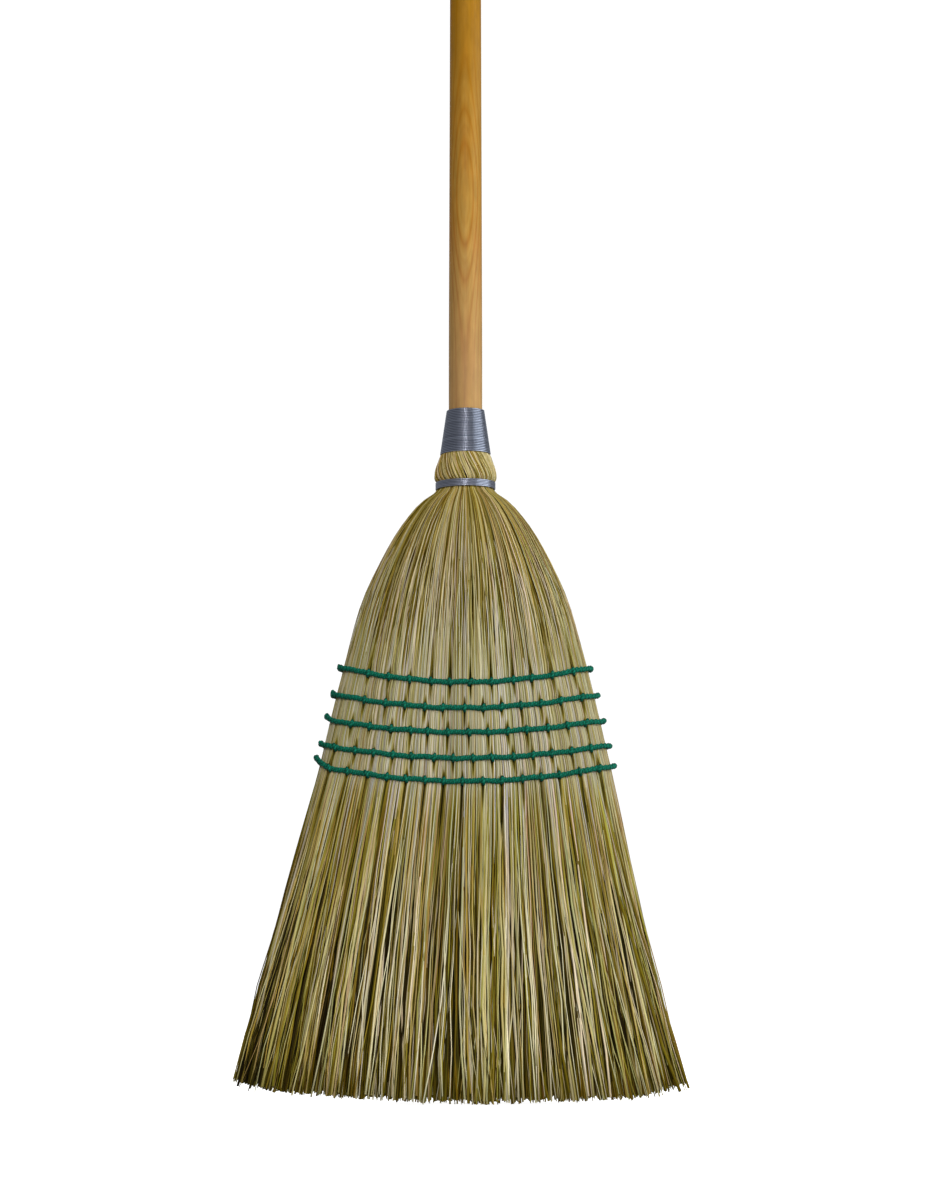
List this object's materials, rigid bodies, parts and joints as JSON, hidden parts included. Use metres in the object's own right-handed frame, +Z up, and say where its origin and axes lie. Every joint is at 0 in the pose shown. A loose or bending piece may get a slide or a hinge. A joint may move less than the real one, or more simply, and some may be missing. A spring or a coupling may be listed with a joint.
{
  "type": "corn broom",
  "caption": "Flat straw sweeping broom: turned wooden handle, wire-wound neck, and a fan of broomcorn sewn flat with rows of twine.",
  "frame": {"origin": "centre of the bounding box at its lowest level, where the trimmed straw tips stand on the floor under the handle", "axes": "+Z up the handle from the straw tips, +X across the width of the sweep, +Y from the front face to the back face through the thin direction of the head"},
  "size_m": [0.325, 0.067, 1.42],
  "materials": {
    "handle_wood": "clear satin lacquer over straight-grained pale hardwood, amber",
    "binding_wire": "galvanised drawn wire, grey with a soft shine",
    "cover_straw": "dry broomcorn, matt to waxy, golden to green",
    "inner_straw": "dry broomcorn stalks, matt, tan to brown",
    "sewing_twine": "waxed polyester twine, dark teal green"
  },
  "bodies": {
    "root": {"handle": "handle_wood", "wire_end_nail": "binding_wire", "neck_wire_winding": "binding_wire", "neck_band_wire": "binding_wire", "inner_tie_wire": "binding_wire", "inner_stalk_sleeve": "inner_straw", "stalk_collar": "cover_straw", "core_bundle": "inner_straw", "left_shoulder_bundle": "inner_straw", "right_shoulder_bundle": "inner_straw", "front_hurl_01": "cover_straw", "front_hurl_02": "cover_straw", "front_hurl_03": "cover_straw", "front_hurl_04": "cover_straw", "front_hurl_05": "cover_straw", "front_hurl_06": "cover_straw", "front_hurl_07": "cover_straw", "front_hurl_08": "cover_straw", "back_hurl_01": "cover_straw", "back_hurl_02": "cover_straw", "back_hurl_03": "cover_straw", "back_hurl_04": "cover_straw", "back_hurl_05": "cover_straw", "back_hurl_06": "cover_straw", "back_hurl_07": "cover_straw", "back_hurl_08": "cover_straw", "stitch_row_1": "sewing_twine", "stitch_row_2": "sewing_twine", "stitch_row_3": "sewing_twine", "stitch_row_4": "sewing_twine", "stitch_row_5": "sewing_twine"}
  },
  "joints": []
}
